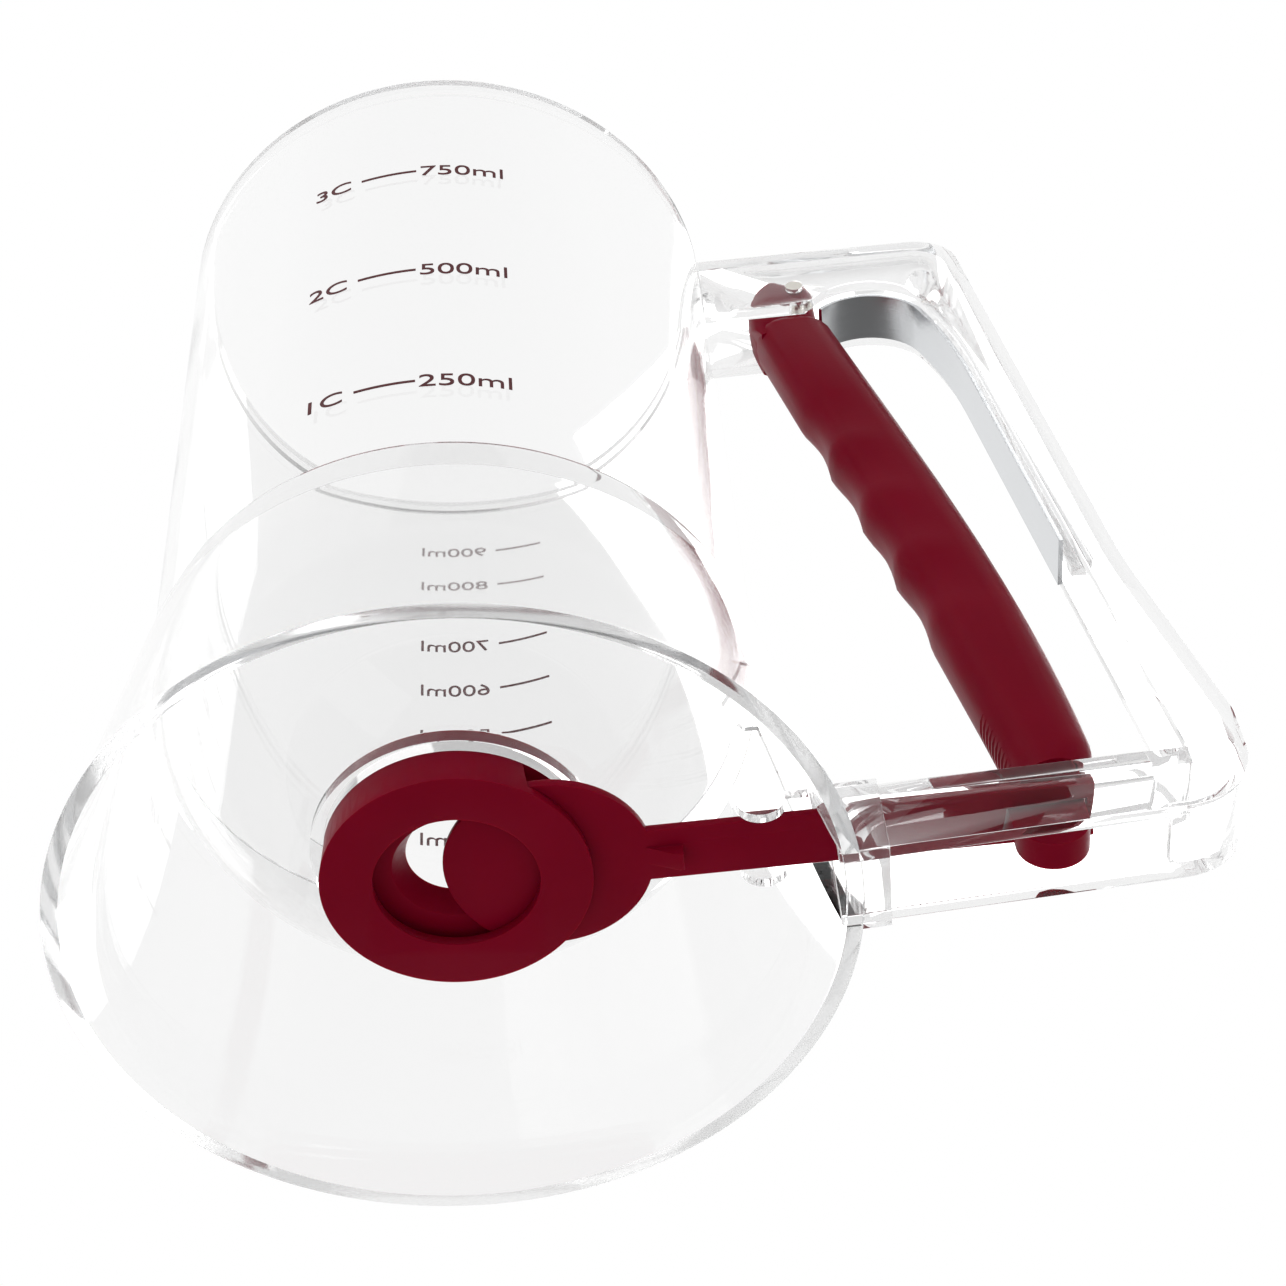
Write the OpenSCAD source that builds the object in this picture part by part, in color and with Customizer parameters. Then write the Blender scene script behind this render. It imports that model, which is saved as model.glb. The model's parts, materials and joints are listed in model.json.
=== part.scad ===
// Pancake batter dispenser: a clear jug with a bowl-shaped floor and a flared skirt,
// a red nozzle under the floor with a sliding shutter, and a clear handle that holds
// a red finger lever and a leaf spring. Pulling the lever draws the shutter open.
// Origin: centre of the skirt's rim on the standing plane. +Z up, +X towards the handle.

/* [Jug] */
// Height of the mouth above the standing plane
jug_height = 180; // [178:1:210]
// Outer radius of the jug just above the waist
jug_radius_low = 49.4; // [48:0.2:50.4]
// Outer radius of the jug at the mouth
jug_radius_top = 50.2; // [49:0.2:52]
// Wall of the jug
jug_wall = 2.1; // [1.8:0.1:2.6]
// Height of the waist, where the cup sits in the skirt
waist_z = 56.5; // [54:0.5:60]
// Wall of the thicker lip at the mouth
lip_wall = 2.5; // [2.2:0.1:3.5]
// Height of the lip
lip_h = 4; // [2:0.5:8]
// Depth of the bowl below the waist, measured on the axis
bowl_depth = 41; // [40:0.5:42]
// Wall of the collar round the nozzle's neck
collar_wall = 2; // [1.6:0.1:2.6]

/* [Skirt] */
// Outer radius of the rim that the jug stands on
skirt_radius = 60.5; // [59:0.5:61.5]
// Wall of the skirt
skirt_wall = 2.5; // [2:0.1:3]
// Slope of the skirt just below the waist, in mm outwards per mm down
slope_top = 0.26; // [0.1:0.01:0.4]
// Slope of the skirt at its rim, in mm outwards per mm down
slope_foot = 0.27; // [0.1:0.01:0.4]
// Wall that the skirt keeps where it laps round the cup at the waist
lap_t = 0.8; // [0.6:0.1:1.1]
// Thickness of each rib that guides the slide
guide_t = 1.6; // [1.2:0.1:2]
// Distance from the axis to the near edge of the guide ribs
guide_x = 43; // [42:0.5:44]
// Width of each guide rib at its rounded lower end
guide_w = 7.5; // [6:0.5:9]
// Height of the lower end of the guide ribs
guide_low_z = 11; // [10:0.2:12]
// Wall of the socket that takes the lower end of the handle
socket_wall = 0.6; // [0.5:0.1:0.9]
// Length of the socket outside the skirt's rim
socket_reach = 4; // [2.5:0.5:6.5]

/* [Nozzle] */
// Height of the nozzle's lower face above the standing plane
nozzle_z = 10.6; // [10:0.1:11]
// Outer radius of the nozzle
nozzle_radius = 20.7; // [20.4:0.1:22]
// Radius of the opening in the lower ring
nozzle_hole_r = 12.7; // [11:0.1:13.5]
// Thickness of the ring below the shutter
nozzle_ring_t = 1.7; // [1.4:0.1:2]
// Thickness of the plate above the shutter
nozzle_plate_t = 3.4; // [3:0.1:4]
// Radius of the plate where the wall is cut away for the shutter
nozzle_plate_r = 17.2; // [16.5:0.1:18]
// Radius of the throat that the shutter covers
throat_r = 7.7; // [7:0.1:8.6]
// Height of the throat's narrowest place above the plate
throat_rise = 0.4; // [0:0.1:1]
// Radius of the throat at the shutter
throat_low_r = 9.8; // [8.8:0.1:10.5]
// Radius of the neck that is pushed into the collar
neck_r = 20.2; // [19.6:0.1:20.3]
// Wall of the neck at its upper edge
neck_wall = 1.6; // [1:0.1:2.4]

/* [Shutter] */
// Radius of the shutter disc
shutter_r = 16; // [15:0.1:16.2]
// Thickness of the shutter and its bar
shutter_t = 1.5; // [1.3:0.1:1.6]
// Distance from the axis to the centre of the disc, as the shutter stands half open
shutter_x = 14; // [13:0.25:14.5]
// Travel of the shutter from its half-open place until it is fully open
open_travel = 10; // [8:0.25:10]
// Travel of the shutter from its half-open place until it is shut
shut_travel = 8; // [7.5:0.25:8]
// Width of the bar
bar_w = 9.8; // [9:0.1:9.8]
// Wall of the bar beyond the lever's slot
bar_end_wall = 1; // [0.8:0.1:3]
// Length of the bevel on the leading edge of the disc
bevel_l = 5; // [3:0.1:6]
// Height of the bevel on the leading edge of the disc
bevel_h = 0.9; // [0.4:0.1:1]
// Height of the wedge under the bar
wedge_h = 2.2; // [1:0.1:3]
// Length of the wedge under the bar
wedge_l = 5.7; // [4:0.1:8]

/* [Handle] */
// Width of the handle across Y
handle_w = 14.6; // [14.6:0.1:16]
// Wall of the handle
handle_wall = 2.1; // [1.6:0.1:2.1]
// Height of the underside of the lower arm at the skirt
arm_low_z = 1.2; // [1:0.1:2]
// Height of the top face of the lower arm at the skirt
arm_top_z = 15.3; // [15.3:0.1:16]
// Rise of the lower arm's top face from the skirt to its outer corner
arm_rise = 1.9; // [0:0.1:2.4]
// Rise of the lower arm's underside from the skirt to its outer corner
arm_low_rise = 3.1; // [0:0.1:3.4]
// Height of the underside of the upper arm
upper_low_z = 156.3; // [156:0.1:158]
// Height of the upper arm's top face at the jug
upper_top_z = 177; // [175:0.1:177.5]
// Fall of the upper arm's top face from the jug to its corner
upper_fall = 0.6; // [0:0.1:3]
// Distance from the axis to the handle's upper outer corner
corner_top_x = 99.4; // [99:0.1:101]
// Radius of the upper outer corner
corner_top_r = 9; // [6:0.5:10]
// Distance from the axis to the slight bend in the grip's outer face
grip_bend_x = 111.9; // [111.4:0.1:113]
// Height of the slight bend in the grip's outer face
grip_bend_z = 66; // [60:1:74]
// Radius of the grip's bend
grip_bend_r = 120; // [110:5:125]
// Height of the knee at the lower end of the grip
knee_z = 24.6; // [22:0.2:28]
// Radius of the knee
knee_r = 10; // [5:0.5:14]
// Distance from the axis to the handle's lower outer corner
corner_low_x = 120.6; // [120.2:0.1:122]
// Radius of the lower outer corner
corner_low_r = 12; // [8:0.5:12]
// Thickness of the rib that backs the spring
rib_t = 2; // [1.4:0.1:3]
// How far the rib runs on below the spring's lower end
rib_over = 3; // [1:0.5:6]

/* [Lever] */
// Distance from the axis to the pivot
pivot_x = 67.8; // [67:0.1:68.4]
// Height of the pivot
pivot_z = 164; // [163:0.1:165]
// Diameter of the pivot pin
pin_d = 3.2; // [2.4:0.1:4]
// Width of the lever where the fingers hold it
lever_w = 13; // [11:0.5:14]
// Distance from the axis to the jug side of the lever at its upper end
lever_top_x = 58.8; // [58.6:0.1:59.6]
// Distance from the axis to the jug side of the lever at its lower end
lever_low_x = 86.2; // [85.8:0.1:86.8]
// Thickness of the lever at its upper end, from jug side to grip side
lever_t_top = 14.6; // [13:0.1:14.8]
// Thickness of the lever at its lower end
lever_t_low = 13; // [12:0.1:13.4]
// Bow of the jug side towards the grip at mid height
jug_side_bow = 0.9; // [0:0.1:2]
// Bow of the grip side at mid height
grip_side_bow = 3.1; // [2:0.1:3.4]
// Radius of the lever's rounded edges
lever_edge_r = 5.4; // [3:0.2:5.6]
// Radius of the upright edges of the lever's head
head_edge_r = 3.2; // [1:0.2:4]
// Radius of the shoulder round the lever's upper end
shoulder_r = 3; // [2:0.2:3.4]
// Radius of the lever's lower corner on the grip side
lever_heel_r = 7; // [5.5:0.5:9]
// Depth of the finger grooves
groove_depth = 1; // [0.4:0.1:1.4]
// Number of finger grooves
groove_count = 4; // [2:1:5]
// Depth of the fine ribbing at the lever's lower end
ribbing_depth = 0.45; // [0.2:0.05:0.6]
// Number of notches in the fine ribbing
ribbing_count = 10; // [6:1:12]
// How far the tongue stands forward of the lever's jug side
tongue_out = 1.8; // [1.4:0.1:2.4]
// Thickness of the tongue that moves the slide
tongue_t = 5; // [4:0.2:6]
// Half the width of the tongue, and the radius of its tip
tongue_r = 5.6; // [4.6:0.1:5.8]
// Height of the tongue's tip
tongue_low_z = 3.2; // [3:0.1:5]

/* [Spring] */
// Thickness of the steel strip
spring_t = 0.8; // [0.5:0.1:1]
// Width of the steel strip
spring_w = 9.4; // [7:0.2:9.6]
// Radius of the hairpin bend
bend_r = 11.4; // [11:0.1:11.6]
// Distance from the axis to the centre of the hairpin bend
bend_x = 80.4; // [80.2:0.1:80.8]
// Height of the centre of the hairpin bend
bend_z = 150.6; // [150:0.1:151]
// Length of the straight leg
leg_l = 56; // [40:1:60]

/* [Scale] */
// Height of the 250 ml mark
first_mark_z = 74.3; // [70:0.1:80]
// Room between the highest mark and the lip
mark_room = 6; // [4:0.5:8]
// Drop of the back marks below the front marks
back_drop = 6; // [0:0.5:7]
// Direction of the front marks' first end round the axis, in degrees
front_turn = -101.7; // [-105:0.1:-98]
// Direction of the back marks' first end round the axis, in degrees
back_turn = 74.7; // [70:0.1:80]
// Length of each mark
mark_l = 10; // [6:0.5:12]
// Thickness of the line of a mark
mark_line = 0.5; // [0.4:0.1:1]
// Thickness of the printed layer
ink_t = 0.15; // [0.1:0.05:0.3]

/* [Clearances] */
// Gap between welded or pressed faces
weld_gap = 0.05; // [0.02:0.01:0.1]
// Gap above and below the shutter
slide_gap = 0.2; // [0.15:0.05:0.25]
// Gap at the sides of the bar in the arm, and round the disc
side_gap = 0.3; // [0.2:0.05:0.5]
// Gap between the bar and each guide rib
guide_gap = 0.8; // [0.4:0.1:1]
// Gap between the pin and the lever's bore
pin_gap = 0.05; // [0.02:0.01:0.08]
// Gap between the tongue and its slot in the bar
tongue_gap = 0.4; // [0.3:0.05:0.6]
// Gap between the lever's head and the walls of the upper arm
head_gap = 0.3; // [0.2:0.05:0.5]
// Gap between the spring and the edge of the finger opening
spring_gap = 0.5; // [0.3:0.1:0.8]
// Gap between the lever's body and the arms above and below it
lever_gap = 0.8; // [0.7:0.05:1]

/* [Hidden] */
$fn = 96;

CLEAR = [0.93, 0.94, 0.95];
RED = [0.52, 0.04, 0.11];
STEEL = [0.75, 0.76, 0.78];
INK = [0.45, 0.06, 0.09];

eps = 0.01;
far = 300;

// bowl of the cup: quarter ellipses from the waist down, outside and inside
bowl_r = jug_radius_low - lap_t - weld_gap;
bowl_in_r = jug_radius_low - jug_wall;
bowl_in_depth = bowl_depth - jug_wall;
function bowl_z(r, top_r, depth) = waist_z - depth * sqrt(1 - pow(r / top_r, 2));

// heights in the nozzle, from the ring up
pocket_z = nozzle_z + nozzle_ring_t;
shutter_z = pocket_z + slide_gap;
plate_z = shutter_z + shutter_t + slide_gap;
collar_z = plate_z + nozzle_plate_t;
collar_bore_r = neck_r + weld_gap;
neck_top_z = bowl_z(collar_bore_r, bowl_in_r, bowl_in_depth);

// the disc's centre with the shutter shut, and the pocket that holds the disc then
shut_x = shutter_x - shut_travel;
pocket_w = 2 * (shutter_r + side_gap);
pocket_r = norm([shut_x, pocket_w / 2]);

// height of 250 ml of batter between the marks
mark_r = (jug_radius_low + jug_radius_top) / 2 - jug_wall;
mark_pitch = 250000 / (PI * mark_r * mark_r);
function mark_z(ml) = first_mark_z + mark_pitch * (ml - 250) / 250;
top_ml = 100 * floor(2.5 + 2.5 * (jug_height - lip_h - mark_room - first_mark_z) / mark_pitch);

// the lower arm leans up towards its corner; its ceiling stays level above the bar
channel_w = handle_w - 2 * handle_wall;
ceiling_z = plate_z + slide_gap / 2;
socket_x = skirt_radius + socket_reach;
arm_slope = arm_rise / (corner_low_x - socket_x);
arm_low_slope = arm_low_rise / (corner_low_x - socket_x);
function arm_top(x) = arm_top_z + arm_slope * (x - socket_x);
function arm_low(x) = arm_low_z + arm_low_slope * (x - socket_x);
arm_end_x = skirt_radius - skirt_wall - 1;
arm_way_w = handle_w + 2 * weld_gap;

// the lever from its upper end down; its foot slants up towards the grip
tongue_x = lever_low_x - tongue_out + tongue_r;
lever_top_z = upper_low_z - lever_gap;
foot_z = arm_top(lever_low_x) + lever_gap + 0.4;
foot_slant = 0.14;
tongue_root = 3;
tongue_top_z = foot_z + tongue_root;
lever_h = lever_top_z - foot_z;

function jug_radius(z) =
    jug_radius_low + (jug_radius_top - jug_radius_low) * (z - waist_z) / (jug_height - waist_z);

bowl_steps = 24;
function bowl_curve(top_r, depth, r_end) =
    let (a_end = acos(r_end / top_r))
    [for (i = [0:bowl_steps]) let (a = a_end * i / bowl_steps) [top_r * cos(a), waist_z - depth * sin(a)]];

// skirt from the waist (u = 0) to the rim (u = 1): a cubic with a given slope at each end
skirt_steps = 16;
function skirt_r(u) =
    let (m0 = slope_top * waist_z, m1 = slope_foot * waist_z, s = 3 * u * u - 2 * u * u * u)
    jug_radius_low * (1 - s) + skirt_radius * s + m0 * u * (1 - u) * (1 - u) - m1 * u * u * (1 - u);
function skirt_curve(inset) =
    [for (i = [0:skirt_steps]) let (u = i / skirt_steps) [skirt_r(u) - inset, waist_z * (1 - u)]];

function reversed(list) = [for (i = [len(list) - 1:-1:0]) list[i]];

// the corner b between a and c, rounded to radius r
function corner(a, b, c, r, n = 10) =
    let (u = (a - b) / norm(a - b), v = (c - b) / norm(c - b), h = acos(u * v) / 2,
         m = b + (u + v) / norm(u + v) * r / sin(h), p = b + u * r / tan(h) - m, q = b + v * r / tan(h) - m,
         a0 = atan2(p[1], p[0]), da = atan2(p[0] * q[1] - p[1] * q[0], p * q))
    [for (i = [0:n]) m + r * [cos(a0 + da * i / n), sin(a0 + da * i / n)]];

// side of the lower arm from x0 to x1, grown by d
function arm_side(x0, x1, d) = [[x0, arm_low(x0) - d], [x0, arm_top(x0) + d], [x1, arm_top(x1) + d], [x1, arm_low(x1) - d]];

// outer side of the handle, drawn in by d; x away from the jug, y up
function handle_side(d) =
    let (t0 = [0, upper_top_z - d], t1 = [corner_top_x - d, upper_top_z - upper_fall - d],
         g = [grip_bend_x - d, grip_bend_z], k = [corner_low_x - d, knee_z],
         l1 = [corner_low_x - d, arm_low(corner_low_x) + d], l0 = [0, arm_low(0) + d])
    concat([t0], corner(t0, t1, g, corner_top_r - d), corner(t1, g, k, grip_bend_r - d, 4),
           corner(g, k, l1, knee_r - d / 2, 4), corner(k, l1, l0, corner_low_r - d), [l0]);

// the spring: hairpin bend, slack bend and straight leg, drawn outwards by d
bend_start = 136;
bend_end = 20;
leg_lean = 7.1;
slack_r = 106;
bend_c = [bend_x, bend_z];
slack_c = bend_c + (bend_r - slack_r) * [cos(bend_end), sin(bend_end)];
leg_out = [cos(leg_lean), sin(leg_lean)];
leg_dir = [sin(leg_lean), -cos(leg_lean)];
leg_top = slack_c + slack_r * leg_out;
function spring_path(d, leg) = concat(
    [for (i = [0:16]) let (a = bend_start + (bend_end - bend_start) * i / 16)
        bend_c + (bend_r + d) * [cos(a), sin(a)]],
    [for (i = [1:6]) let (a = bend_end + (leg_lean - bend_end) * i / 6)
        slack_c + (slack_r + d) * [cos(a), sin(a)]],
    [leg_top + leg * leg_dir + d * leg_out]);

// the finger opening: between the arms, and up to the spring's leg in the grip
window_x = leg_top[0] + (leg_top[1] - arm_top_z) * tan(leg_lean);
roof_rise = 3;
window_d = spring_t / 2 + spring_gap;
window_leg = (leg_top[1] + window_d * sin(leg_lean) - arm_top(window_x)) / cos(leg_lean);
function window_side() = concat([[0, arm_top(0)], [0, upper_low_z], [bend_x - bend_r, upper_low_z]],
                                spring_path(window_d, window_leg));

// side lines of the lever at s, from 0 at its upper end to 1 at its foot
groove_start = 0.2;
groove_end = 0.7;
function bow(s) = (2 + 3.4 * s) * s * (1 - s);
function groove(s) = let (g = groove_count * (s - groove_start) / (groove_end - groove_start))
    g < 0 || g > groove_count ? 0 : groove_depth * abs(sin(180 * g));
function rounding(r, d) = r - sqrt(r * r - d * d);
function shoulder(s) = rounding(shoulder_r, max(0, shoulder_r - 0.4 - lever_h * s));
function heel(s) = rounding(lever_heel_r, max(0, lever_heel_r - 1.5 - lever_h * (1 - s)));
function jug_side(s) = lever_top_x + (lever_low_x - lever_top_x) * s + jug_side_bow * bow(s);
function grip_side(s) = lever_top_x + lever_t_top + grip_side_bow * bow(s)
    + (lever_low_x + lever_t_low - lever_top_x - lever_t_top) * s;

// one ring of the lever: a rounded rectangle, pressed in by the grooves round its jug side
corner_steps = 5;
lever_steps = 72;
function lever_ring(s) =
    let (x0 = jug_side(s) + shoulder(s), x1 = grip_side(s) - shoulder(s) - heel(s), w = lever_w / 2 - shoulder(s),
         r = min(lever_edge_r, (x1 - x0) / 2 - 0.3, w - 0.3))
    [for (q = [0:3]) for (i = [0:corner_steps]) let (a = 90 * (q + i / corner_steps),
        cx = (q == 0 || q == 3) ? x1 - r : x0 + r, cy = q < 2 ? w - r : r - w,
        fade = max(0, 1 - (cx + r * cos(a) - x0) / (2 * lever_edge_r)), rr = r - groove(s) * fade, x = cx + rr * cos(a))
        [x, cy + rr * sin(a), lever_top_z - lever_h * s + foot_slant * s * (x - x0)]];

module lever_body() {
    n = 4 * (corner_steps + 1);
    // rings lie closer together near both ends
    points = [for (i = [0:lever_steps]) let (t = i / lever_steps) each lever_ring(t - 0.05 * sin(360 * t))];
    sides = [for (i = [0:lever_steps - 1]) for (j = [0:n - 1]) let (a = i * n + j, b = i * n + (j + 1) % n)
        each [[a, b, b + n], [a, b + n, a + n]]];
    polyhedron(points, concat(sides, [reversed([for (j = [0:n - 1]) j])],
                              [[for (j = [0:n - 1]) lever_steps * n + j]]));
}

// stands an x-y outline up in the x-z plane, centred on y = 0
module upright(t) {
    translate([0, t / 2, 0]) rotate([90, 0, 0]) linear_extrude(t) children();
}

module along_y(r, l, x, z) {
    translate([x, l / 2, z]) rotate([90, 0, 0]) cylinder(r = r, h = l);
}

module box(x0, x1, w, z0, z1) {
    translate([x0, -w / 2, z0]) cube([x1 - x0, w, z1 - z0]);
}

module skirt_space(inset) {
    rotate_extrude() polygon(concat([[0, waist_z]], skirt_curve(inset), [[0, 0]]));
}

module cup() {
    color(CLEAR, 0.35) rotate_extrude() polygon(concat(
        [[collar_bore_r, collar_z], [collar_bore_r + collar_wall, collar_z]],
        reversed(bowl_curve(bowl_r, bowl_depth, collar_bore_r + collar_wall)),
        [[jug_radius_low, waist_z], [jug_radius_top, jug_height], [jug_radius_top - lip_wall, jug_height],
         [jug_radius_top - lip_wall, jug_height - lip_h],
         [jug_radius(jug_height - lip_h) - jug_wall, jug_height - lip_h - 1]],
        bowl_curve(bowl_in_r, bowl_in_depth, collar_bore_r)));
}

// one guide rib: it hangs beside the bar and ends in a round below it
module guide_rib(y) {
    r = guide_w / 2;
    top_z = waist_z - 10;
    translate([0, y, 0]) {
        along_y(r, guide_t, guide_x + r, guide_low_z + r);
        box(guide_x, guide_x + guide_w, guide_t, guide_low_z + r, top_z);
        box(guide_x + r, skirt_radius, guide_t, arm_top(skirt_radius) + socket_wall, top_z);
    }
}

module skirt() {
    color(CLEAR, 0.35) difference() {
        skirt_space(0);
        translate([0, 0, -eps]) skirt_space(skirt_wall);
        translate([0, 0, -eps]) cylinder(r = skirt_r(1) - skirt_wall, h = 2 * eps);
        translate([0, 0, waist_z / 2]) cylinder(r = bowl_r + weld_gap, h = waist_z);
        // way through the wall for the handle's lower arm
        upright(arm_way_w) polygon(arm_side(guide_x, far, weld_gap));
    }
}

// sleeve round the lower arm, on the outside of the skirt
module arm_socket() {
    color(CLEAR, 0.35) difference() {
        upright(arm_way_w + 2 * socket_wall) polygon(arm_side(arm_end_x, socket_x, weld_gap + socket_wall));
        skirt_space(-weld_gap);
        upright(arm_way_w) polygon(arm_side(guide_x, far, weld_gap));
    }
}

// ribs between the bowl and the skirt, one on each side of the bar
module slide_guides() {
    guide_y = bar_w / 2 + guide_gap + guide_t / 2;
    color(CLEAR, 0.35) difference() {
        intersection() {
            union() {
                guide_rib(-guide_y);
                guide_rib(guide_y);
            }
            skirt_space(skirt_wall + weld_gap);
        }
        rotate_extrude() polygon(concat([[0, waist_z]], bowl_curve(bowl_r + weld_gap, bowl_depth + weld_gap, eps)));
    }
}

module handle() {
    tongue_way = tongue_r + open_travel + 1;
    rib_end_z = leg_top[1] - leg_l * cos(leg_lean) - rib_over;
    color(CLEAR, 0.35) difference() {
        union() {
            difference() {
                upright(handle_w) polygon(handle_side(0));
                difference() {
                    union() {
                        upright(channel_w) polygon(handle_side(handle_wall));
                        box(0, corner_low_x - corner_low_r - 2, channel_w, -far, ceiling_z);
                    }
                    // top wall of the lower arm
                    upright(channel_w + 1) polygon([[0, ceiling_z], [0, arm_top_z], [window_x + 1, arm_top_z + roof_rise],
                                                    [window_x + 1, ceiling_z]]);
                }
            }
            // rib that backs the spring
            difference() {
                upright(rib_t) polygon(handle_side(handle_wall / 2));
                box(0, bend_x, rib_t + 1, -far, far);
                box(0, far, rib_t + 1, -far, rib_end_z);
            }
        }
        upright(handle_w + 1) polygon(window_side());
        along_y((pin_d + weld_gap) / 2, handle_w + 1, pivot_x, pivot_z);
        // way for the lever's tongue through the top wall of the lower arm
        box(tongue_x - tongue_way, tongue_x + tongue_way, tongue_t + 2 * tongue_gap,
            ceiling_z - 1, arm_top(corner_low_x));
        // the upper arm ends on the jug's wall, the lower arm inside the skirt
        translate([0, 0, waist_z]) cylinder(r1 = jug_radius_low + weld_gap, r2 = jug_radius_top + weld_gap,
                                            h = jug_height - waist_z);
        box(0, arm_end_x, handle_w + 1, -far, waist_z);
    }
}

module nozzle() {
    throat_z = collar_z + throat_rise;
    color(RED) difference() {
        rotate_extrude() polygon([
            [nozzle_hole_r, nozzle_z], [nozzle_radius, nozzle_z], [neck_r, collar_z], [neck_r, neck_top_z],
            [neck_r - neck_wall, neck_top_z], [throat_r, throat_z], [throat_low_r, plate_z], [pocket_r, plate_z],
            [pocket_r, pocket_z], [nozzle_hole_r, pocket_z]]);
        // the wall is cut away where the shutter slides in
        difference() {
            box(0, 2 * nozzle_radius, pocket_w, pocket_z, collar_z);
            translate([0, 0, plate_z]) cylinder(r = nozzle_plate_r, h = nozzle_plate_t + 1);
        }
    }
}

module shutter() {
    slot_r = tongue_r + tongue_gap;
    lead_x = shutter_x - shutter_r;
    wedge_x = nozzle_radius + shut_travel + 2 * weld_gap;
    color(RED) difference() {
        union() {
            translate([shutter_x, 0, shutter_z]) cylinder(r = shutter_r, h = shutter_t);
            box(shutter_x, tongue_x + slot_r + bar_end_wall, bar_w, shutter_z, shutter_z + shutter_t);
            // wedge under the bar; it meets the nozzle's ring when the shutter is shut
            upright(bar_w / 3) polygon([[wedge_x, shutter_z + eps], [wedge_x + wedge_l, shutter_z + eps],
                                        [wedge_x + wedge_l, shutter_z - wedge_h],
                                        [wedge_x + wedge_l - 0.8, shutter_z - wedge_h]]);
        }
        // slot for the lever's tongue
        box(tongue_x - slot_r, tongue_x + slot_r, tongue_t + 2 * tongue_gap, shutter_z - 1, shutter_z + shutter_t + 1);
        // bevelled leading edge
        upright(3 * shutter_r) polygon([[lead_x - 1, shutter_z - 1], [lead_x + bevel_l, shutter_z - eps],
                                        [lead_x + bevel_l, shutter_z],
                                        [lead_x - 1, shutter_z + bevel_h * (bevel_l + 1) / bevel_l]]);
    }
}

module trigger() {
    head_w = channel_w - 2 * head_gap;
    head_x0 = lever_top_x - 0.3;
    head_x1 = pivot_x + 3.6;
    plan = [[head_x0, -head_w / 2], [head_x1, -head_w / 2], [head_x1, head_w / 2], [head_x0, head_w / 2]];
    notch_pitch = 1.4;
    color(RED) difference() {
        union() {
            lever_body();
            // head in the upper arm
            intersection() {
                upright(head_w + 1) polygon([[lever_top_x + 1.4, lever_top_z - 4], [head_x0, lever_top_z + 2],
                                             [head_x0, pivot_z - 1], [pivot_x - 4, pivot_z + 4.4],
                                             [pivot_x + 1.6, pivot_z + 4.4], [head_x1, pivot_z + 2],
                                             [head_x1, lever_top_z - 4]]);
                linear_extrude(far) polygon([for (i = [0:3])
                    each corner(plan[(i + 3) % 4], plan[i], plan[(i + 1) % 4], head_edge_r, 5)]);
            }
            // tongue through the slide
            along_y(tongue_r, tongue_t, tongue_x, tongue_low_z + tongue_r);
            box(tongue_x - tongue_r, tongue_x + tongue_r, tongue_t, tongue_low_z + tongue_r, tongue_top_z);
        }
        along_y(pin_d / 2 + pin_gap, lever_w, pivot_x, pivot_z);
        // fine ribbing above the foot
        for (i = [1:ribbing_count]) {
            z = tongue_top_z + notch_pitch * i;
            x = jug_side(1 - (z - foot_z) / lever_h) + ribbing_depth;
            translate([x, 0, z]) rotate([0, -45, 0]) translate([-2, -lever_w / 2, 0]) cube([2, lever_w, 2]);
        }
    }
}

module pivot_pin() {
    color(STEEL) along_y(pin_d / 2, handle_w, pivot_x, pivot_z);
}

module leaf_spring() {
    color(STEEL) upright(spring_w) polygon(concat(spring_path(spring_t / 2, leg_l),
                                                  reversed(spring_path(-spring_t / 2, leg_l))));
}

// one printed line on the jug's wall, from angle a over its length
module mark(z, a) {
    turn = mark_l / jug_radius(z) * 180 / PI;
    z0 = z - mark_line / 2;
    z1 = z + mark_line / 2;
    rotate([0, 0, a]) rotate_extrude(angle = turn) polygon([
        [jug_radius(z0), z0], [jug_radius(z0) + ink_t, z0], [jug_radius(z1) + ink_t, z1], [jug_radius(z1), z1]]);
}

module front_scale() {
    color(INK) for (ml = [250:250:top_ml]) mark(mark_z(ml), front_turn);
}

module back_scale() {
    color(INK) for (ml = [300:100:top_ml]) mark(mark_z(ml) - back_drop, back_turn);
}

cup();
skirt();
arm_socket();
slide_guides();
handle();
nozzle();
shutter();
trigger();
pivot_pin();
leaf_spring();
front_scale();
back_scale();
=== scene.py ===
# %% [markdown]
# # A pancake batter dispenser
# A clear plastic jug stands on a flared skirt. Under its bowl sits a crimson nozzle with a sliding shutter, and in
# the clear handle hangs the crimson lever that draws the shutter open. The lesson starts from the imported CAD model,
# which fixes every size and place, and gives each piece the surface that the real one has.

# %% Load the CAD frame
import json
import math
import bpy
from mathutils import Matrix, Vector


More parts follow.
